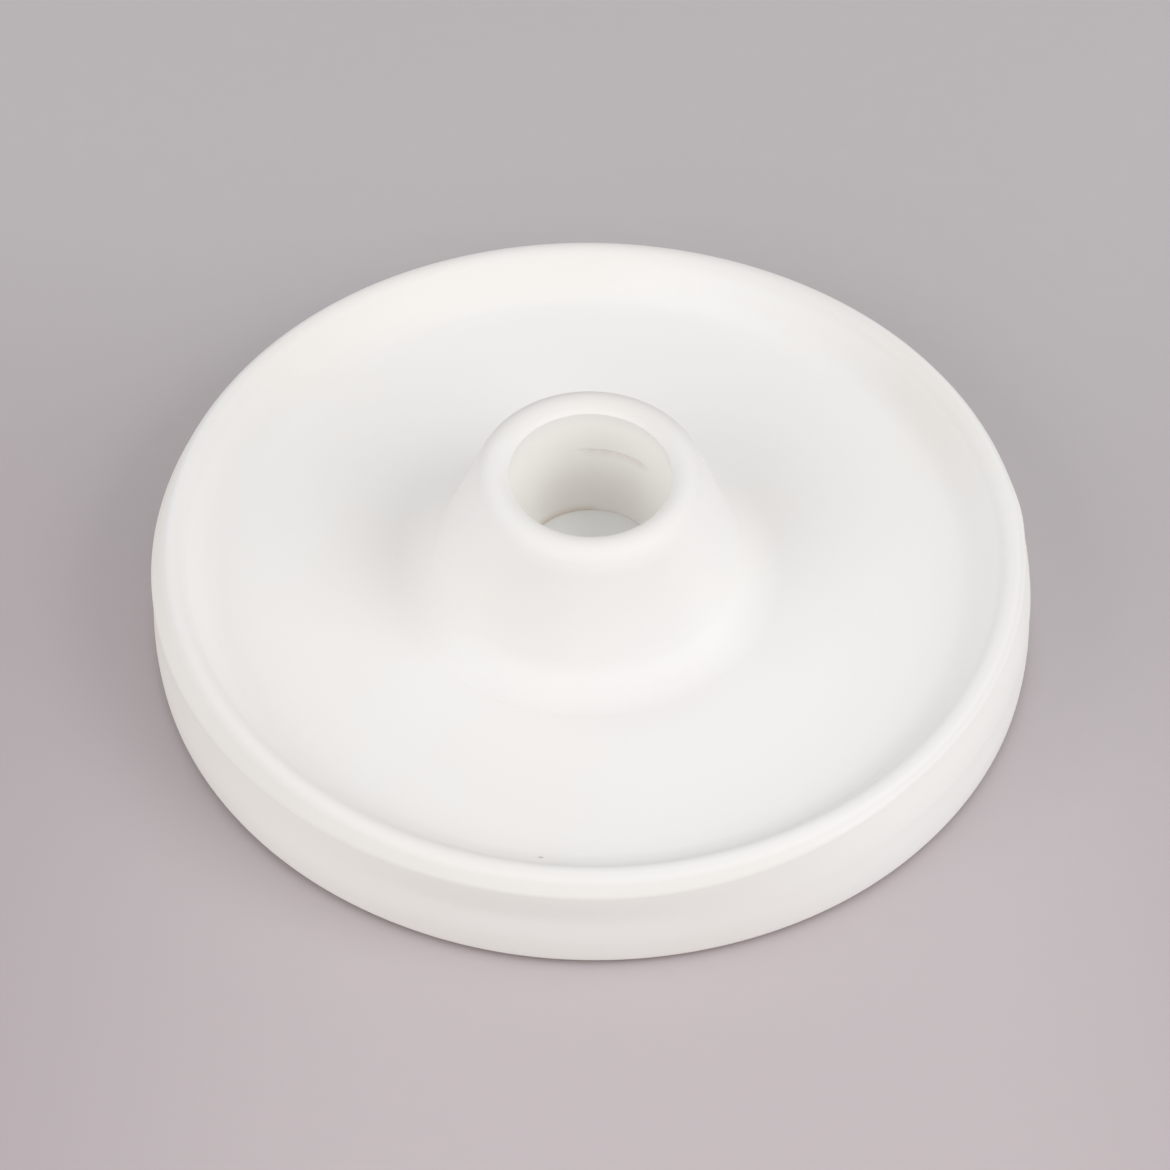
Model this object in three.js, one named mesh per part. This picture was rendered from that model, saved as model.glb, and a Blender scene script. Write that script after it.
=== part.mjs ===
// Taper candle holder: a round stoneware drip dish with a rolled rim, a flared candle socket luted
// into a shallow seat at its centre, and four thin anti-slip pads under its foot ring.
// Millimetres, +Z up, origin on the table under the centre of the dish.
import * as THREE from 'three';

// Drip dish, outside
const rimDiameter = 125.6; // over the crease under the rolled rim
const rimRoll = 2.25; // radius of the rolled rim
const bandSlope = 20; // degrees from upright of the straight band that runs from the roll to the crease
const bandHeight = 1;
const bellySwell = 0.95; // of the wall's lower part, outside the crease
const bellyHeight = 3.9; // above the foot
const bellyRound = 10;
const waistInset = 0.05; // of the wall's shallow waist, inside the crease
const waistHeight = 9; // above the foot
const waistRound = 20;
const footInset = 0.7; // of the foot ring's outer edge, inside the belly
const footEdgeRound = 1; // outer edge of the foot ring

// Drip dish, inside and underneath
const trayDepth = 5.2; // top of the rim down to the dish floor
const traySlope = 50; // degrees of the rim's inner slope, from level
const trayCove = 6; // round between the slope and the dish floor
const plateThickness = 8.5; // dish floor down to the underside
const recessDepth = 3; // underside up from the foot ring
const footRingWidth = 12.4; // outer edge in to the recess
const recessCove = 2; // round where the recess wall meets the underside
const footLipRound = 0.6; // inner edge of the foot ring
const seatDepth = 0.6; // round seat that the socket is let into
const seatClearance = 0.3; // around the socket's foot
const bossHeight = 2; // locating boss above the dish floor, which the candle stands on
const bossEdgeRound = 0.5;
const bossClearance = 0.4; // between the boss and the bore around it

// Candle socket
const socketHeight = 21; // dish floor up to the top of the socket's lip
const lipRound = 2.7; // radius of the socket's lip
const lipEdge = 35; // degrees above level where the lip's round ends in an edge inside the mouth
const mouthDiameter = 23.4; // bore, at the lip's inner edge
const grooveDiameter = 23; // bore, where a shallow groove runs round it
const grooveDrop = 8.3; // of the groove below the top of the lip
const grooveDepth = 0.3; // into the bore's wall
const grooveWidth = 0.8; // down the bore's wall
const grooveUndercut = 0.2; // drop from the groove's upper edge to its deepest line
const boreFootDiameter = 20; // bore, at the bottom of the socket
const flankSlope = 18; // degrees of the socket's flank, from upright
const flareRound = 8; // concave round between the flank and the dish floor

// Anti-slip pads
const padCount = 4;
const padDiameter = 9;
const padThickness = 0.5;
const padEdgeRound = 0.2;
const padFirstAngle = 45; // degrees from +X

// Facets
const dishFacets = 72;
const socketFacets = 48;
const padFacets = 16;
const arcSteps = 3; // half the number of chords along each round
const weldDistance = 1e-4; // outline points closer than this are one point

// Heights and radii that several pieces share
const footLevel = padThickness;
const undersideLevel = footLevel + recessDepth;
const floorLevel = undersideLevel + plateThickness;
const seatLevel = floorLevel - seatDepth;
const bossLevel = floorLevel + bossHeight;
const rimLevel = floorLevel + trayDepth;
const socketLevel = floorLevel + socketHeight;
const rimRadius = rimDiameter / 2;
const bellyRadius = rimRadius + bellySwell;
const footRadius = bellyRadius - footInset;
const recessRadius = footRadius - footRingWidth;
const boreFootRadius = boreFootDiameter / 2;

// The socket's lip is a round that ends in the mouth's edge, its flank a straight slope down from the lip,
// and the flare a round that meets the flank and the dish floor.
const flankAngle = THREE.MathUtils.degToRad(flankSlope);
const lipEdgeAngle = Math.PI - THREE.MathUtils.degToRad(lipEdge);
const lipCentre = new THREE.Vector2(
  mouthDiameter / 2 - lipRound * Math.cos(lipEdgeAngle),
  socketLevel - lipRound,
);
const flankTop = new THREE.Vector2(
  lipCentre.x + lipRound * Math.cos(flankAngle),
  lipCentre.y + lipRound * Math.sin(flankAngle),
);
const flankFootRadius = flankTop.x + (flankTop.y - floorLevel) * Math.tan(flankAngle);
const flareReach = flareRound / Math.tan((Math.PI / 2 + flankAngle) / 2);
const socketFootRadius = flankFootRadius + flareReach;

// Runs a path straight towards a corner and rounds it there, ready to go on towards the next point.
function roundTo(path, corner, next, round) {
  const back = path.currentPoint.clone().sub(corner).normalize();
  const ahead = next.clone().sub(corner).normalize();
  const halfAngle = Math.acos(back.dot(ahead)) / 2;
  const reach = round / Math.tan(halfAngle);
  const start = corner.clone().addScaledVector(back, reach);
  const end = corner.clone().addScaledVector(ahead, reach);
  const inward = back.clone().add(ahead).normalize();
  const centre = corner.clone().addScaledVector(inward, round / Math.sin(halfAngle));
  const startAngle = start.sub(centre).angle();
  const endAngle = end.sub(centre).angle();
  path.absarc(centre.x, centre.y, round, startAngle, endAngle, back.cross(ahead) > 0);
}

// Turns an outline of (radius, height) points about the Z axis.
function turned(path, facets) {
  const points = path.getPoints(arcSteps);
  const outline = points.filter((point, i) => i === 0 || point.distanceTo(points[i - 1]) > weldDistance);
  return new THREE.LatheGeometry(outline, facets).rotateX(Math.PI / 2);
}

function matteGlaze() {
  return new THREE.MeshStandardMaterial({ color: 0xf0ece6, roughness: 0.62, metalness: 0 });
}

function padRubber() {
  return new THREE.MeshStandardMaterial({ color: 0xd8d5cf, roughness: 0.85, metalness: 0 });
}

function namedMesh(name, geometry, material) {
  const mesh = new THREE.Mesh(geometry, material);
  mesh.name = name;
  return mesh;
}

// Dish: from the underside's centre out to the foot ring, up the wall, over the rim, down into the tray
// and in across the floor to the seat and the boss.
function dripDish() {
  const bandAngle = THREE.MathUtils.degToRad(bandSlope);
  const slopeAngle = THREE.MathUtils.degToRad(traySlope);
  const bandTopRadius = rimRadius - bandHeight * Math.tan(bandAngle);
  const rollCentre = new THREE.Vector2(bandTopRadius - rimRoll * Math.cos(bandAngle), rimLevel - rimRoll);
  const crease = new THREE.Vector2(rimRadius, rollCentre.y + rimRoll * Math.sin(bandAngle) - bandHeight);
  const slopeTop = new THREE.Vector2(
    rollCentre.x - rimRoll * Math.sin(slopeAngle),
    rollCentre.y + rimRoll * Math.cos(slopeAngle),
  );
  const slopeFoot = new THREE.Vector2(
    slopeTop.x - (slopeTop.y - floorLevel) / Math.tan(slopeAngle),
    floorLevel,
  );
  const recessCorner = new THREE.Vector2(recessRadius, undersideLevel);
  const footInner = new THREE.Vector2(recessRadius, footLevel);
  const footOuter = new THREE.Vector2(footRadius, footLevel);
  const belly = new THREE.Vector2(bellyRadius, footLevel + bellyHeight);
  const waist = new THREE.Vector2(rimRadius - waistInset, footLevel + waistHeight);
  const seatRadius = socketFootRadius + seatClearance;
  const seatEdge = new THREE.Vector2(seatRadius, floorLevel);
  const bossEdge = new THREE.Vector2(boreFootRadius - bossClearance, bossLevel);
  const bossCentre = new THREE.Vector2(0, bossLevel);

  const outline = new THREE.Path();
  outline.moveTo(0, undersideLevel);
  outline.lineTo(recessRadius - recessCove, undersideLevel);
  roundTo(outline, recessCorner, footInner, recessCove);
  roundTo(outline, footInner, footOuter, footLipRound);
  roundTo(outline, footOuter, belly, footEdgeRound);
  roundTo(outline, belly, waist, bellyRound);
  roundTo(outline, waist, crease, waistRound);
  outline.lineTo(crease.x, crease.y);
  outline.absarc(rollCentre.x, rollCentre.y, rimRoll, bandAngle, Math.PI / 2 + slopeAngle, false);
  roundTo(outline, slopeFoot, seatEdge, trayCove);
  outline.lineTo(seatEdge.x, seatEdge.y);
  outline.lineTo(seatRadius, seatLevel);
  outline.lineTo(bossEdge.x, seatLevel);
  roundTo(outline, bossEdge, bossCentre, bossEdgeRound);
  outline.lineTo(bossCentre.x, bossCentre.y);
  return namedMesh('drip_dish', turned(outline, dishFacets), matteGlaze());
}

// Socket: a flared collar with an open bore, from its flat underside out to the foot, up the flare and
// flank, over the lip and down the bore past its groove, back to the underside.
function candleSocket() {
  const flareCentre = new THREE.Vector2(socketFootRadius, floorLevel + flareRound);
  const grooveRadius = grooveDiameter / 2;
  const grooveLevel = socketLevel - grooveDrop;

  const outline = new THREE.Path();
  outline.moveTo(boreFootRadius, seatLevel);
  outline.lineTo(socketFootRadius, seatLevel);
  outline.lineTo(socketFootRadius, floorLevel);
  outline.absarc(flareCentre.x, flareCentre.y, flareRound, -Math.PI / 2, flankAngle - Math.PI, true);
  outline.absarc(lipCentre.x, lipCentre.y, lipRound, flankAngle, lipEdgeAngle, false);
  outline.lineTo(grooveRadius, grooveLevel);
  outline.lineTo(grooveRadius + grooveDepth, grooveLevel - grooveUndercut);
  outline.lineTo(grooveRadius, grooveLevel - grooveWidth);
  outline.lineTo(boreFootRadius, seatLevel);
  return namedMesh('candle_socket', turned(outline, socketFacets), matteGlaze());
}

// Pad: a thin round of rubber with a softened edge, stuck to the middle of the foot ring's flat.
function antiSlipPad(number) {
  const padRadius = padDiameter / 2;
  const ringRadius = (recessRadius + footLipRound + footRadius - footEdgeRound) / 2;
  const lowerEdge = new THREE.Vector2(padRadius, 0);
  const upperEdge = new THREE.Vector2(padRadius, padThickness);

  const outline = new THREE.Path();
  outline.moveTo(0, 0);
  outline.lineTo(padRadius - padEdgeRound, 0);
  roundTo(outline, lowerEdge, upperEdge, padEdgeRound);
  outline.lineTo(upperEdge.x, upperEdge.y);
  outline.lineTo(0, padThickness);
  const pad = namedMesh(`anti_slip_pad_${number}`, turned(outline, padFacets), padRubber());
  const angle = THREE.MathUtils.degToRad(padFirstAngle) + ((number - 1) / padCount) * 2 * Math.PI;
  pad.position.set(ringRadius * Math.cos(angle), ringRadius * Math.sin(angle), 0);
  return pad;
}

const holder = new THREE.Group();
holder.name = 'taper_candle_holder';
holder.add(dripDish(), candleSocket());
for (let number = 1; number <= padCount; number += 1) {
  holder.add(antiSlipPad(number));
}

export default holder;
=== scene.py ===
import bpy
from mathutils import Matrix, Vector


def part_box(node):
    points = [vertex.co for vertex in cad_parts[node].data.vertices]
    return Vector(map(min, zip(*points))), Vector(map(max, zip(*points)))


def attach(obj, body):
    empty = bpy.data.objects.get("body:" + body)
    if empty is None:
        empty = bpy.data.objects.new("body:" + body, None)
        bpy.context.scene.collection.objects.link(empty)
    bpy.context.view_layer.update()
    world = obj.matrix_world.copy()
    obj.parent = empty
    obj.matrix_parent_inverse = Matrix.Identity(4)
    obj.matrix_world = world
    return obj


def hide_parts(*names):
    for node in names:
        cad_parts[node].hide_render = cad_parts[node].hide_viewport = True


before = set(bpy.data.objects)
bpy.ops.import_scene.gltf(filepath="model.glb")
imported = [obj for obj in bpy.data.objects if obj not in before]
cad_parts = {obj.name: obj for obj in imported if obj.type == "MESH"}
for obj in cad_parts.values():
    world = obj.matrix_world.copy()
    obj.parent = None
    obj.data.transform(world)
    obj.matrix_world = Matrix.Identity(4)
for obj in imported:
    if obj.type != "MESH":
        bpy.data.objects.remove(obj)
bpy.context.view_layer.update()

import math

import bmesh
import bpy
from mathutils import Matrix, Vector, noise

scene = bpy.context.scene
scene.view_settings.view_transform = "Standard"
mm = 0.001
weldGap = 1e-6  # metres
roundSteps = 8  # faces along a softened corner
sharpAngle = 32  # degrees between two faces


# Draws an outline in the XZ plane, in millimetres, and turns it into a round piece.
class Pen:
    def __init__(self, r, z):
        self.bm = bmesh.new()
        self.tip = self.bm.verts.new((r * mm, 0, z * mm))
        self.softened = []

    def line(self, r, z, cut=0):  # cut: how far from the corner its rounding starts
        self.tip = bmesh.ops.extrude_vert_indiv(self.bm, verts=[self.tip])["verts"][0]
        self.tip.co = (r * mm, 0, z * mm)
        if cut:
            self.softened.append((self.tip, cut))

    def turn(self, r, z, degrees, steps):  # about a centre, clockwise as seen from the front
        arc = bmesh.ops.spin(self.bm, geom=[self.tip], cent=(r * mm, 0, z * mm), axis=(0, 1, 0),
                             angle=math.radians(degrees), steps=steps)
        self.tip = arc["geom_last"][0]

    def spun(self, steps, ringGap):
        bm = self.bm
        for corner, cut in self.softened:
            bmesh.ops.bevel(bm, geom=[corner], offset=cut * mm, offset_type="OFFSET", affect="VERTICES",
                            segments=roundSteps, profile=0.5, material=-1)
        for edge in bm.edges[:]:  # rings close enough together to carry the hand-made unevenness
            cuts = int(edge.calc_length() / (ringGap * mm))
            if cuts:
                bmesh.ops.subdivide_edges(bm, edges=[edge], cuts=cuts)
        bmesh.ops.spin(bm, geom=bm.verts[:] + bm.edges[:], cent=(0, 0, 0), axis=(0, 0, 1),
                       angle=2 * math.pi, steps=steps, use_merge=True)
        bmesh.ops.remove_doubles(bm, verts=bm.verts, dist=weldGap)
        bmesh.ops.recalc_face_normals(bm, faces=bm.faces)
        return bm


def eased(value, low, high):  # 0 at low, 1 at high
    return min(max((value - low) / (high - low), 0), 1)


def placeOf(point):  # distance from the axis and height in millimetres, and the angle round the axis
    return math.hypot(point.x, point.y) / mm, point.z / mm, math.atan2(point.y, point.x)


# The clay moved a little in drying and firing: the holder leans, its rim isn't quite round, the crease
# under the rim runs lower on the left, and the socket stands a little forward of the dish's centre.
handMade = dict(
    lean=-0.018, leanFrom=4.5, nod=0.004, nodFrom=9.4, forward=-0.43,
    lobes=3, lobeDepth=0.27, lobesAt=30, lobesFrom=4.6, lobesTo=14.0, lobesReach=63,
    swell=0.05, swellSize=26, creaseTilt=2.1, creaseMost=1.1)


def unevenPoint(point):
    h = handMade
    out, height, around = placeOf(point)
    reach = out / h["lobesReach"]
    lobes = h["lobeDepth"] * math.cos(h["lobes"] * (around - math.radians(h["lobesAt"])))
    lobes *= reach ** h["lobes"] * eased(height, h["lobesFrom"], h["lobesTo"])
    slow = noise.noise(point / (h["swellSize"] * mm)) * h["swell"]
    out += lobes + slow * reach
    side = h["lean"] * (height - h["leanFrom"])
    return Vector((out * math.cos(around) + side, out * math.sin(around), height)) * mm


def finishPiece(bm, name, material, node):
    mesh = bpy.data.meshes.new(name)
    bm.to_mesh(mesh)
    bm.free()
    mesh.shade_smooth()
    mesh.set_sharp_from_angle(angle=math.radians(sharpAngle))
    mesh.materials.append(material)
    piece = bpy.data.objects.new(name, mesh)
    scene.collection.objects.link(piece)
    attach(piece, "root")
    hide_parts(node)


# One wrapped socket: sums on it become Math nodes, and node() makes any other node.
class Wire:
    tree = None

    def __init__(self, socket):
        self.socket = socket

    @classmethod
    def node(cls, kind, settings=None, sockets=None, out=0):
        made = cls.tree.nodes.new(kind)
        for key, value in (settings or {}).items():
            setattr(made, key, value)
        for key, value in (sockets or {}).items():
            if isinstance(value, Wire):
                cls.tree.links.new(value.socket, made.inputs[key])
            else:
                made.inputs[key].default_value = value
        return cls(made.outputs[out])

    def out(self, name):
        return Wire(self.socket.node.outputs[name])

    @staticmethod
    def maths(operation, *values):
        return Wire.node("ShaderNodeMath", dict(operation=operation), dict(enumerate(values)))

    def __add__(self, other):
        return Wire.maths("ADD", self, other)

    def __sub__(self, other):
        return Wire.maths("SUBTRACT", self, other)

    def __rsub__(self, other):
        return Wire.maths("SUBTRACT", other, self)

    def __mul__(self, other):
        return Wire.maths("MULTIPLY", self, other)

    def __truediv__(self, other):
        return Wire.maths("DIVIDE", self, other)

    def __pow__(self, other):
        return Wire.maths("POWER", self, other)

    def __abs__(self):
        return Wire.maths("ABSOLUTE", self)

    def __lt__(self, other):
        return Wire.maths("LESS_THAN", self, other)

    __radd__ = __add__
    __rmul__ = __mul__

    def atMost(self, limit):
        return Wire.maths("MINIMUM", self, limit)

    def rising(self, low, high):  # 0 at low, 1 at high, eased
        return Wire.node("ShaderNodeMapRange", dict(interpolation_type="SMOOTHSTEP"),
                         {"Value": self, "From Min": low, "From Max": high})

    def falling(self, low, high):  # 1 at low, 0 at high, eased
        return 1 - self.rising(low, high)

    def within(self, low, full, last, gone):
        return self.rising(low, full) * self.falling(last, gone)

    def swing(self, amount):  # a wire from 0 to 1 as plus or minus half the amount
        return (self - 0.5) * amount

    def mix(self, first, second):  # this wire picks between two colours; 6, 7 and 2 are the colour sockets
        return Wire.node("ShaderNodeMix", dict(data_type="RGBA"), {0: self, 6: first, 7: second}, out=2)


def startMaterial(name):
    material = bpy.data.materials.new(name)
    material.use_nodes = True
    Wire.tree = material.node_tree
    shader = material.node_tree.nodes["Principled BSDF"]
    coords = Wire.node("ShaderNodeTexCoord").out("Object")
    inMm = Wire.node("ShaderNodeVectorMath", dict(operation="SCALE"), {0: coords, "Scale": 1 / mm})
    return material, shader, inMm


def noiseAt(where, scale, detail=2.0, rough=0.5):
    return Wire.node("ShaderNodeTexNoise", {}, {"Vector": where, "Scale": scale, "Detail": detail,
                                                "Roughness": rough})


def feed(shader, name, wire):
    Wire.tree.links.new(wire.socket, shader.inputs[name])


def feedBump(shader, height):  # height in millimetres
    feed(shader, "Normal", Wire.node("ShaderNodeBump", {}, {"Distance": mm, "Height": height}))


# A point of the glaze, placed on the dish and on the socket
class Spot:
    def __init__(self, where):
        h = handMade
        xyz = Wire.node("ShaderNodeSeparateXYZ", {}, {0: where})
        self.x, self.y, self.z = xyz.out("X"), xyz.out("Y"), xyz.out("Z")
        self.radius = (self.x * self.x + self.y * self.y) ** 0.5
        self.toRight, self.toRear = self.x / self.radius, self.y / self.radius
        lift = (self.toRight * abs(self.toRight) * h["creaseTilt"]).atMost(h["creaseMost"])
        self.level = self.z - lift  # height as if the crease ran level
        self.across = self.x - (self.z - h["leanFrom"]) * h["lean"]
        self.ahead = self.y - h["forward"]
        self.inSocket = (self.across * self.across + self.ahead * self.ahead) ** 0.5
        self.behind = self.ahead / self.inSocket

    def dishSide(self, degrees):  # 1 straight towards that side of the dish, 0 square to it
        side = math.radians(degrees)
        return (self.x * math.cos(side) + self.y * math.sin(side)) / self.radius

    def socketSide(self, degrees):  # the same, round the socket
        side = math.radians(degrees)
        return (self.across * math.cos(side) + self.ahead * math.sin(side)) / self.inSocket


# The glaze's spans are millimetres, or cosines where they tell a side.
# Painted light: the wall is painted paler, most of all at its two sides
wallPaintedLight = dict(
    outside=(60.8, 62.2), below=(15.9, 17.0), toRight=(-0.3, 0.3), toSide=(0.25, 0.7),
    front=(0.935, 0.916, 0.873, 1), frontAmount=0.8,
    left=(0.975, 0.952, 0.905, 1), right=(0.978, 0.970, 0.945, 1))


def paintWallLight(spot, colour):
    w = wallPaintedLight
    outside = spot.radius.rising(*w["outside"]) * spot.z.falling(*w["below"])
    atSide = outside * abs(spot.toRight).rising(*w["toSide"])
    sideColour = spot.toRight.rising(*w["toRight"]).mix(w["left"], w["right"])
    colour = (outside * w["frontAmount"]).mix(colour, w["front"])
    return atSide.mix(colour, sideColour)


# Thin along the rim's crease and the edge of the mouth
thinGlaze = dict(
    colour=(0.83, 0.785, 0.72, 1), amount=0.17, evenness=(0.6, 0.8),
    creaseAt=14.7, creaseSpan=(0.1, 0.6), creaseFrom=(61.5, 62.4), inLip=(11.8, 12.6), lipFrom=(31.0, 31.8))


def thinColour(spot, fine, colour):
    t = thinGlaze
    crease = abs(spot.level - t["creaseAt"]).falling(*t["creaseSpan"]) * spot.radius.rising(*t["creaseFrom"])
    inLip = spot.inSocket.falling(*t["inLip"]) * spot.z.rising(*t["lipFrom"])
    thin = (crease + inLip) * (t["evenness"][0] + fine * t["evenness"][1]) * t["amount"]
    return thin.mix(colour, t["colour"])


# Painted shade: darker over the rim, up the back of the tray and over the lip, where they face the lamps, to
# hold their highlights down
litFacePaintedShade = dict(
    colour=(0.835, 0.808, 0.772, 1),
    rimTop=(57.6, 58.8, 60.2, 61.0), rimOut=(60.2, 61.0), rimFrom=(14.2, 15.2),
    topAmount=0.35, topRear=0.28, topFront=-0.35, outAmount=0.05, outFront=0.3,
    rear=(0.1, 0.5), frontAt=-80, front=(0.85, 0.97), outAt=-105, outSpan=(0.55, 0.9),
    slope=(52.0, 56.0, 57.6, 58.8), slopeFrom=(11.5, 11.9), slopeRear=(-0.2, 0.7), slopeAmount=0.6,
    brightAt=64, bright=(0.88, 0.99), brightAmount=0.65,
    lip=(11.8, 12.6, 16.0, 17.0), lipFrom=(31.4, 32.2), lipAmount=0.2, lipRear=(0.2, 0.9), rearAmount=0.5)


def paintLitFaceShade(spot, colour):
    w = litFacePaintedShade
    atFront = spot.dishSide(w["frontAt"]).rising(*w["front"])
    top = w["topAmount"] + spot.toRear.rising(*w["rear"]) * w["topRear"] + atFront * w["topFront"]
    out = w["outAmount"] + spot.dishSide(w["outAt"]).rising(*w["outSpan"]) * w["outFront"]
    rim = spot.radius.within(*w["rimTop"]) * top + spot.radius.rising(*w["rimOut"]) * out
    rim = rim * spot.level.rising(*w["rimFrom"])
    bright = spot.dishSide(w["brightAt"]).rising(*w["bright"]) * w["brightAmount"]
    slope = spot.radius.within(*w["slope"]) * spot.z.rising(*w["slopeFrom"])
    slope = slope * spot.toRear.rising(*w["slopeRear"]) * (1 - bright) * w["slopeAmount"]
    lip = spot.inSocket.within(*w["lip"]) * spot.z.rising(*w["lipFrom"])
    lip = lip * (w["lipAmount"] + spot.behind.rising(*w["lipRear"]) * w["rearAmount"])
    return (rim + slope + lip).mix(colour, w["colour"])


# Painted shade: a shade greyer down the front of the socket and at the front right of its flare, to hold
# their highlights down
conePaintedShade = dict(
    colour=(0.838, 0.815, 0.800, 1), span=(0.6, 0.95),
    cone=(14.0, 16.0, 25.0, 34.0), coneTop=(29.0, 31.0), coneAt=-88, coneAmount=0.42,
    flare=(22.0, 24.5, 26.0, 38.0), flareAt=-55, flareAmount=0.27)


def paintConeShade(spot, colour):
    c = conePaintedShade
    cone = spot.inSocket.within(*c["cone"]) * spot.z.falling(*c["coneTop"]) * c["coneAmount"]
    cone = cone * spot.socketSide(c["coneAt"]).rising(*c["span"])
    flare = spot.inSocket.within(*c["flare"]) * c["flareAmount"]
    flare = flare * spot.socketSide(c["flareAt"]).rising(*c["span"])
    return (cone + flare).mix(colour, c["colour"])


# Down the bore: painted shade, darker low down at the back; darker and browner where the wall meets the
# floor at the back left; and a brown line along the groove
boreGlazeAndShade = dict(
    inside=(11.9, 12.3), mouth=(29.5, 31.5), side=(0.955, 0.935, 0.905, 1),
    deepShade=(0.845, 0.81, 0.77, 1), deepSpan=(16.0, 25.0), deepRear=(0.45, 0.95), deepAmount=0.8,
    floor=(0.86, 0.87, 0.865, 1), floorReach=(9.6, 9.74), floorTop=(14.05, 14.2),
    cornerTint=(0.79, 0.73, 0.665, 1), cornerTintReach=(9.3, 9.74), cornerTintTop=(14.1, 15.4),
    cornerTintAt=116, cornerTintSpan=(0.80, 0.95),
    groove=(0.56, 0.48, 0.41, 1), grooveLine=(23.3, 24.5, 24.8, 24.98),
    grooveAt=72, grooveSpan=(0.85, 0.96), grooveAmount=(0.10, 0.34))


def paintBoreGlazeAndShade(spot, fine, colour):
    b = boreGlazeAndShade
    z, inSocket = spot.z, spot.inSocket
    inBore = inSocket.falling(*b["inside"])
    # painted shade: the bore is darker low down and towards its back
    deepShade = z.falling(*b["deepSpan"]) * spot.behind.rising(*b["deepRear"]) * b["deepAmount"]
    onFloor = inSocket.falling(*b["floorReach"]) * z.falling(*b["floorTop"])
    # darker and browner where the bore's wall meets its floor, at the back left
    cornerTint = inSocket.rising(*b["cornerTintReach"]) * z.falling(*b["cornerTintTop"])
    cornerTint = cornerTint * spot.socketSide(b["cornerTintAt"]).rising(*b["cornerTintSpan"])
    line = z.within(*b["grooveLine"]) * spot.socketSide(b["grooveAt"]).rising(*b["grooveSpan"])
    line = line * (b["grooveAmount"][0] + fine * b["grooveAmount"][1])
    colour = (inBore * z.falling(*b["mouth"])).mix(colour, b["side"])
    colour = (inBore * deepShade).mix(colour, b["deepShade"])
    colour = onFloor.mix(colour, b["floor"])
    colour = (inBore * cornerTint).mix(colour, b["cornerTint"])
    return (inBore * line).mix(colour, b["groove"])


# A few iron specks, and a faint one at the front of the tray
speckle = dict(
    colour=(0.20, 0.13, 0.09, 1), amount=0.8, gap=9.0, size=0.24, share=0.10, edge=(0.55, 1.0),
    loneAt=(-6.4, -53.9), loneFlat=0.55, loneSpan=(0.08, 0.3), loneAmount=0.42)


def speckColour(spot, where, colour):
    s = speckle
    cell = Wire.node("ShaderNodeTexVoronoi", {}, {"Vector": where, "Scale": 1 / s["gap"]})
    pick = Wire.node("ShaderNodeSeparateColor", {}, {0: cell.out("Color")})
    size = pick.out("Green") * s["size"] / s["gap"]
    speck = (cell.out("Distance") / size).falling(*s["edge"]) * (pick.out("Red") < s["share"])
    aside, away = (spot.x - s["loneAt"][0]) * s["loneFlat"], spot.y - s["loneAt"][1]
    lone = (aside * aside + away * away) ** 0.5
    dark = speck * s["amount"] + lone.falling(*s["loneSpan"]) * s["loneAmount"]
    return dark.mix(colour, s["colour"])


# Matte white glaze over pale stoneware, and the bare clay under the foot with a wavering edge of glaze
glaze = dict(
    warm=(0.920, 0.898, 0.873, 1), cool=(0.916, 0.905, 0.893, 1),
    cloudSize=34, cloudDetail=3.0, cloudSpan=(0.35, 0.65), fineScale=0.9, fineDetail=4.0, fineRough=0.6,
    gloss=0.35, rough=0.56, roughSpread=0.10, peelScale=0.55, peel=0.010, finePeel=0.0025)
bareFoot = dict(
    dark=(0.66, 0.585, 0.49, 1), light=(0.72, 0.655, 0.565, 1),
    grainScale=2.2, grainDetail=5.0, grainRough=0.65, grainSpan=(0.3, 0.75),
    line=(1.2, 1.55), waver=0.7, waverScale=0.12, waverDetail=3.0, outside=(49.0, 50.0),
    rough=0.3, grit=0.03)


def glazeMaterial(name):
    g, f = glaze, bareFoot
    material, shader, where = startMaterial(name)
    spot = Spot(where)
    cloud = noiseAt(where, 1 / g["cloudSize"], g["cloudDetail"]).rising(*g["cloudSpan"])
    fine = noiseAt(where, g["fineScale"], g["fineDetail"], g["fineRough"])
    colour = paintWallLight(spot, cloud.mix(g["warm"], g["cool"]))
    colour = thinColour(spot, fine, colour)
    colour = paintLitFaceShade(spot, colour)
    colour = paintConeShade(spot, colour)
    colour = paintBoreGlazeAndShade(spot, fine, colour)
    colour = speckColour(spot, where, colour)

    waver = noiseAt(where, f["waverScale"], f["waverDetail"]) * f["waver"]
    bare = (spot.z + waver).falling(*f["line"]) * spot.radius.rising(*f["outside"])
    grain = noiseAt(where, f["grainScale"], f["grainDetail"], f["grainRough"])
    colour = bare.mix(colour, grain.rising(*f["grainSpan"]).mix(f["dark"], f["light"]))

    feed(shader, "Base Color", colour)
    shader.inputs["Specular IOR Level"].default_value = g["gloss"]
    feed(shader, "Roughness", g["rough"] + cloud.swing(g["roughSpread"]) + bare * f["rough"])
    peel = noiseAt(where, g["peelScale"]) * g["peel"]
    feedBump(shader, peel + fine * g["finePeel"] + bare * grain * f["grit"])
    return material


# Soft grey rubber of the pads
rubber = dict(
    dark=(0.50, 0.485, 0.46, 1), light=(0.62, 0.60, 0.57, 1),
    grainScale=1.6, grainDetail=4.0, grainRough=0.6, grainSpan=(0.3, 0.7),
    rough=0.82, roughSpread=0.12, grain=0.02)


def rubberMaterial(name):
    r = rubber
    material, shader, where = startMaterial(name)
    grain = noiseAt(where, r["grainScale"], r["grainDetail"], r["grainRough"])
    feed(shader, "Base Color", grain.rising(*r["grainSpan"]).mix(r["dark"], r["light"]))
    feed(shader, "Roughness", r["rough"] + grain.swing(r["roughSpread"]))
    feedBump(shader, grain * r["grain"])
    return material


whiteGlaze = glazeMaterial("matteGlaze")
padRubber = rubberMaterial("padRubber")
print("materials made")

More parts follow.
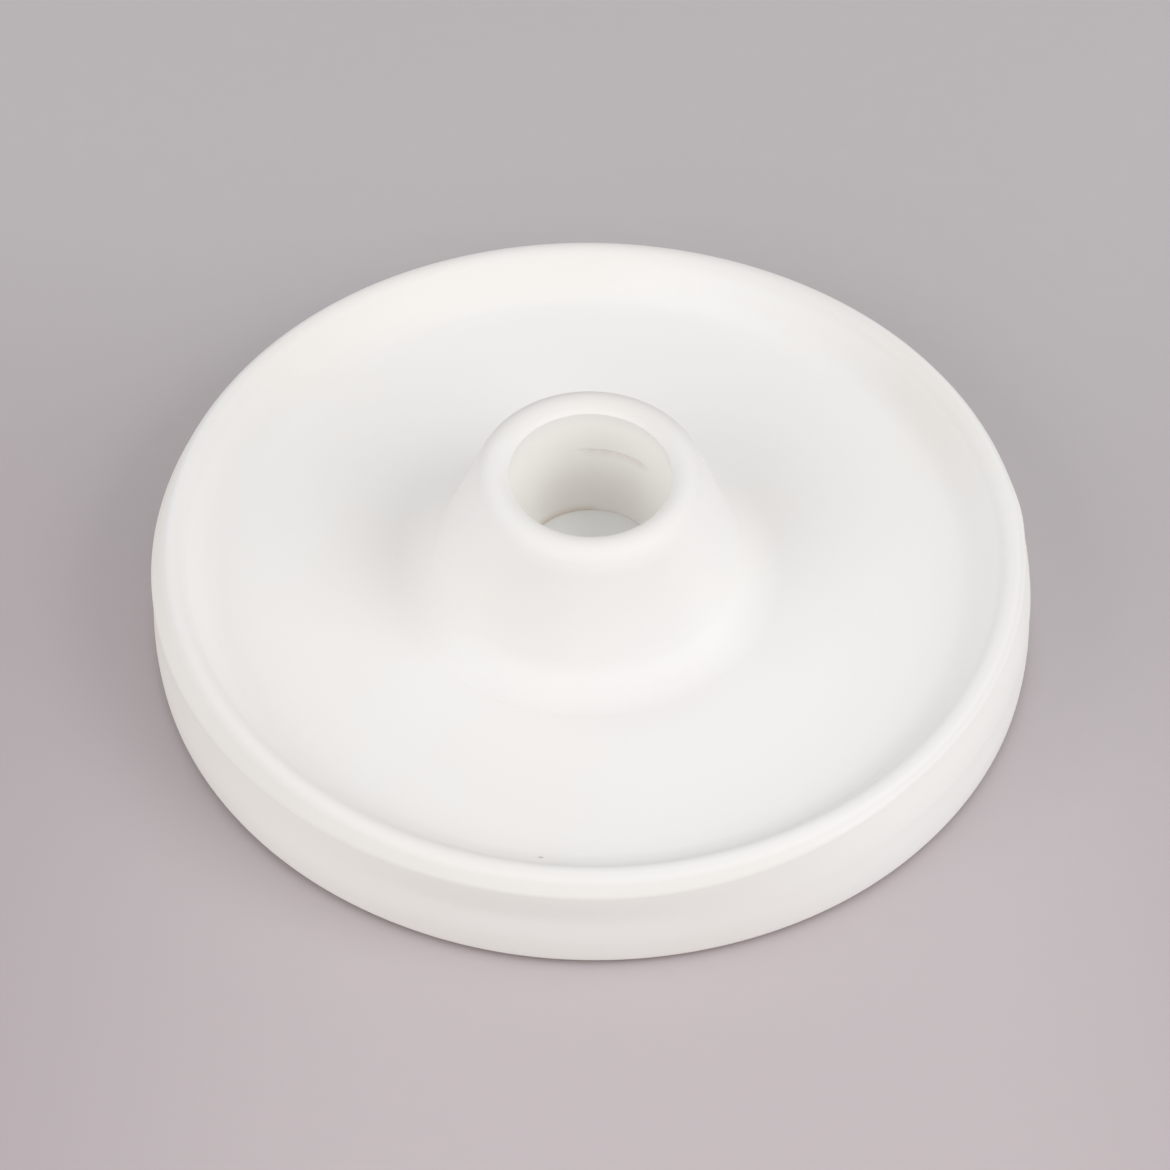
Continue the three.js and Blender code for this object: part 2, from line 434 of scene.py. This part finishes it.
# Drip dish: rolled rim, waisted wall, coved tray, foot ring, seat and boss
dish = dict(
    steps=256, ringGap=2.4, rollSteps=32, margin=0.1,
    underside=3.5, recess=50.65, recessCove=2.0, foot=0.5, footLip=0.6, footRadius=62.88, footEdge=1.0,
    bellyRadius=63.28, bellyHeight=3.6, bellyRound=2.0, waistRadius=63.10, waistHeight=9.4,
    shoulderRadius=62.89, shoulderHeight=12.3, wallRound=1.3,
    rimRadius=62.80, rimTop=17.18, roll=2.0, band=32, bandHeight=1.52, creaseRound=0.3, creaseSpread=0.18,
    slope=50, cove=2.0, floor=12.0, seatRadius=27.3, seat=11.4, boss=9.74, bossTop=14.0, bossEdge=0.06)
# a dent in the front of the wall, a swelling on its right and a knock on the right of the rim
handMarks = [dict(out=-0.30, at=-97, wide=24, height=9.4, high=2.6),
             dict(out=0.28, at=-15, wide=36, height=11.8, high=2.6),
             dict(out=0.30, at=8, wide=4.5, height=15.2, high=1.6)]


def markWall(vert, creaseZ, bandZ):
    d = dish
    reach, height, around = placeOf(vert.co)
    out = 0
    for mark in handMarks:
        beside = (math.degrees(around) - mark["at"]) / mark["wide"]
        above = (height - mark["height"]) / mark["high"]
        out += mark["out"] * math.exp(-beside ** 2 - above ** 2)
    out *= 1 - eased(height, bandZ, d["rimTop"])
    # the crease runs lower on the left and higher on the right, and the wall and roll go with it
    near = eased(height, d["waistHeight"], creaseZ) * (1 - eased(height, creaseZ, d["rimTop"]))
    tilt = handMade["creaseTilt"] * math.cos(around) * abs(math.cos(around))
    rise = min(tilt, handMade["creaseMost"]) * near
    out -= rise * (math.tan(math.radians(d["band"])) if rise > 0 else d["creaseSpread"])
    vert.co.xy *= 1 + out / reach
    vert.co.z += rise * mm


def makeDish():
    d = dish
    band, slope = math.radians(d["band"]), math.radians(d["slope"])
    bandR = d["rimRadius"] - d["bandHeight"] * math.tan(band)
    rollR = bandR - d["roll"] * math.cos(band)
    rollZ = d["rimTop"] - d["roll"]
    bandZ = rollZ + d["roll"] * math.sin(band)
    creaseZ = bandZ - d["bandHeight"]
    slopeR = rollR - d["roll"] * math.sin(slope)
    slopeZ = rollZ + d["roll"] * math.cos(slope)
    slopeFoot = slopeR - (slopeZ - d["floor"]) / math.tan(slope)

    pen = Pen(0, d["underside"])
    pen.line(d["recess"], d["underside"], cut=d["recessCove"])
    pen.line(d["recess"], d["foot"], cut=d["footLip"])
    pen.line(d["footRadius"], d["foot"], cut=d["footEdge"])
    pen.line(d["bellyRadius"], d["bellyHeight"], cut=d["bellyRound"])
    pen.line(d["waistRadius"], d["waistHeight"], cut=d["wallRound"])
    pen.line(d["shoulderRadius"], d["shoulderHeight"], cut=d["wallRound"])
    pen.line(d["rimRadius"], creaseZ, cut=d["creaseRound"])
    pen.line(bandR, bandZ)
    pen.turn(rollR, rollZ, -(90 + d["slope"] - d["band"]), steps=d["rollSteps"])
    pen.line(slopeFoot, d["floor"], cut=d["cove"])
    pen.line(d["seatRadius"], d["floor"])
    pen.line(d["seatRadius"], d["seat"])
    pen.line(d["boss"], d["seat"])
    pen.line(d["boss"], d["bossTop"], cut=d["bossEdge"])
    pen.line(0, d["bossTop"])
    bm = pen.spun(d["steps"], d["ringGap"])
    for vert in bm.verts:
        reach, height = placeOf(vert.co)[:2]
        if reach > rollR and height > d["foot"] + d["footEdge"]:
            markWall(vert, creaseZ, bandZ)
        vert.co = unevenPoint(vert.co)
        if height > d["seat"] - d["margin"] and reach < d["seatRadius"] + d["margin"]:
            vert.co.y += handMade["forward"] * mm  # the seat and the boss go with the socket
        else:
            vert.co.y += handMade["nod"] * (height - handMade["nodFrom"]) * mm
    finishPiece(bm, "dripDish", whiteGlaze, "drip_dish")


# Candle socket: flared collar with a rolled lip and a grooved, tapering bore
socket = dict(
    steps=192, ringGap=1.6, flareSteps=28, lipSteps=28, boreSteps=84, margin=0.1,
    floor=12.02, feather=0.015, seat=11.42, shank=27.2,
    footRadius=27.98, footShift=-0.5, flare=6.5, flank=20,
    mouth=11.7, lip=2.7, lipEdge=35, top=32.97, boreFoot=9.75, boreFootTop=14.4,
    oval=0.12, ovalFrom=14, ovalFull=26, ovalReach=16, ovalEnd=20,
    grooveTop=24.9, grooveDepth=0.18, grooveWidth=1.1,
    grooveFrom=30, grooveFull=65, grooveFade=96, grooveEnd=104)


def makeSocket():
    s = socket
    flank, lipEdge = math.radians(s["flank"]), math.radians(s["lipEdge"])
    lipR = s["mouth"] + s["lip"] * math.cos(lipEdge)
    lipZ = s["top"] - s["lip"]
    edgeZ = lipZ + s["lip"] * math.sin(lipEdge)
    drop, inset = edgeZ - s["boreFootTop"], s["mouth"] - s["boreFoot"]
    sweep = (drop ** 2 + inset ** 2) / (2 * inset)  # upright at the mouth, closing in towards the floor

    pen = Pen(s["boreFoot"], s["seat"])
    pen.line(s["shank"], s["seat"])
    pen.line(s["shank"], s["floor"] - s["feather"])  # a feather edge of slip hides the seat
    pen.line(s["footRadius"], s["floor"] - s["feather"])
    pen.line(s["footRadius"], s["floor"])
    pen.turn(s["footRadius"], s["floor"] + s["flare"], 90 - s["flank"], steps=s["flareSteps"])
    pen.line(lipR + s["lip"] * math.cos(flank), lipZ + s["lip"] * math.sin(flank))
    pen.turn(lipR, lipZ, s["flank"] + s["lipEdge"] - 180, steps=s["lipSteps"])
    pen.turn(s["mouth"] - sweep, edgeZ, math.degrees(math.asin(drop / sweep)), steps=s["boreSteps"])
    pen.line(s["boreFoot"], s["seat"])
    bm = pen.spun(s["steps"], s["ringGap"])
    for vert in bm.verts:
        reach, height, around = placeOf(vert.co)
        below = (s["grooveTop"] - height) / s["grooveWidth"]
        if 0 < below < 1 and reach < s["mouth"] + s["margin"]:  # undercut above, fading out below
            degrees = math.degrees(around)
            begun = eased(degrees, s["grooveFrom"], s["grooveFull"])
            kept = 1 - eased(degrees, s["grooveFade"], s["grooveEnd"])
            vert.co.xy *= 1 + s["grooveDepth"] * (1 - below) * begun * kept / reach
        # the mouth is a little deeper than wide
        drawn = eased(height, s["ovalFrom"], s["ovalFull"])
        drawn *= 1 - eased(reach, s["ovalReach"], s["ovalEnd"])
        vert.co.xy *= 1 - s["oval"] * drawn * math.cos(2 * around) / reach
        if reach > lipR:  # the foot was luted a little to the left of the mouth
            vert.co.x += s["footShift"] * (1 - eased(height, s["floor"], lipZ)) * mm
        vert.co = unevenPoint(vert.co)
        vert.co.y += handMade["forward"] * mm
    finishPiece(bm, "candleSocket", whiteGlaze, "candle_socket")


makeDish()
makeSocket()
print("dish and socket turned")

# Anti-slip pads: thin rubber rounds with a softened edge
pads = dict(count=4, steps=48, ringGap=1.2, lowerEdge=0.2, upperEdge=0.1)


def makePad(number):
    node = f"anti_slip_pad_{number}"
    low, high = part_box(node)
    centre = (low + high) / 2
    radius, thick = (high.x - low.x) / 2 / mm, (high.z - low.z) / mm
    pen = Pen(0, 0)
    pen.line(radius, 0, cut=pads["lowerEdge"])
    pen.line(radius, thick, cut=pads["upperEdge"])
    pen.line(0, thick)
    bm = pen.spun(pads["steps"], pads["ringGap"])
    bmesh.ops.translate(bm, verts=bm.verts, vec=(centre.x, centre.y, low.z))
    finishPiece(bm, f"antiSlipPad{number}", padRubber, node)


for number in range(1, pads["count"] + 1):
    makePad(number)
print("pads placed")

# Table: its size in metres, its spans in millimetres
table = dict(
    size=3.0, cells=4, near=(0.582, 0.520, 0.538, 1), far=(0.524, 0.494, 0.508, 1), depth=(-130, 90),
    side=(0.450, 0.395, 0.415, 1), sideSpan=(35, 125), sideAmount=0.8, sideEnd=(0, 110), middle=15,
    mottleScale=0.25, mottleDetail=4.0, mottle=0.4, rough=0.85)


def makeTable():
    t = table
    bm = bmesh.new()
    bmesh.ops.create_grid(bm, x_segments=t["cells"], y_segments=t["cells"], size=t["size"] / 2)
    mesh = bpy.data.meshes.new("table")
    bm.to_mesh(mesh)
    bm.free()
    piece = bpy.data.objects.new("table", mesh)
    scene.collection.objects.link(piece)
    material, shader, where = startMaterial("tableTop")
    xyz = Wire.node("ShaderNodeSeparateXYZ", {}, {0: where})
    x, y = xyz.out("X"), xyz.out("Y")
    # painted light and shade: the top is lighter near the front, darker further back, and darker out at its
    # two sides
    away = y.rising(*t["depth"]) + noiseAt(where, t["mottleScale"], t["mottleDetail"]).swing(t["mottle"])
    aside = abs(x - t["middle"]).rising(*t["sideSpan"]) * y.falling(*t["sideEnd"]) * t["sideAmount"]
    feed(shader, "Base Color", aside.mix(away.mix(t["near"], t["far"]), t["side"]))
    shader.inputs["Roughness"].default_value = t["rough"]
    mesh.materials.append(material)


# Camera: metres away, degrees above level, and a point in millimetres that it looks at
view = dict(distance=0.790, above=48.695, lens=167.24, sensor=36, roll=0.868, aim=(-1.03, 3.80, 3.72))


def makeCamera():
    camera = bpy.data.objects.new("camera", bpy.data.cameras.new("camera"))
    scene.collection.objects.link(camera)
    camera.data.sensor_width = view["sensor"]
    camera.data.lens = view["lens"]
    rise = math.radians(view["above"])
    spot = Vector((0, -math.cos(rise), math.sin(rise))) * view["distance"]
    look = (Vector(view["aim"]) * mm - spot).to_track_quat("-Z", "Y").to_matrix().to_4x4()
    roll = Matrix.Rotation(math.radians(view["roll"]), 4, "Z")
    camera.matrix_world = Matrix.Translation(spot) @ look @ roll
    scene.camera = camera


# Soft lamps in metres and watts, and a plain sky
lamps = dict(
    right=dict(spot=(1.104, -0.539, 0.860), size=1.1, power=7.9),
    highRight=dict(spot=(0.747, -0.065, 1.299), size=1.1, power=2.5),
    frontLeft=dict(spot=(-0.869, -0.965, 0.750), size=1.1, power=4.9),
    left=dict(spot=(-1.187, -0.318, 0.860), size=1.1, power=3.1))
sky = dict(colour=(1.0, 1.0, 1.0, 1), strength=0.522)


def makeLight():
    for name, lamp in lamps.items():
        light = bpy.data.lights.new(name, "AREA")
        light.size, light.energy = lamp["size"], lamp["power"]
        holder = bpy.data.objects.new(name, light)
        scene.collection.objects.link(holder)
        holder.location = lamp["spot"]
        holder.rotation_euler = (-Vector(lamp["spot"])).to_track_quat("-Z", "Y").to_euler()
    world = bpy.data.worlds.new("studio")
    scene.world = world
    world.use_nodes = True
    back = world.node_tree.nodes["Background"]
    back.inputs["Color"].default_value = sky["colour"]
    back.inputs["Strength"].default_value = sky["strength"]


makeTable()
makeCamera()
makeLight()
print("table, camera and light set")
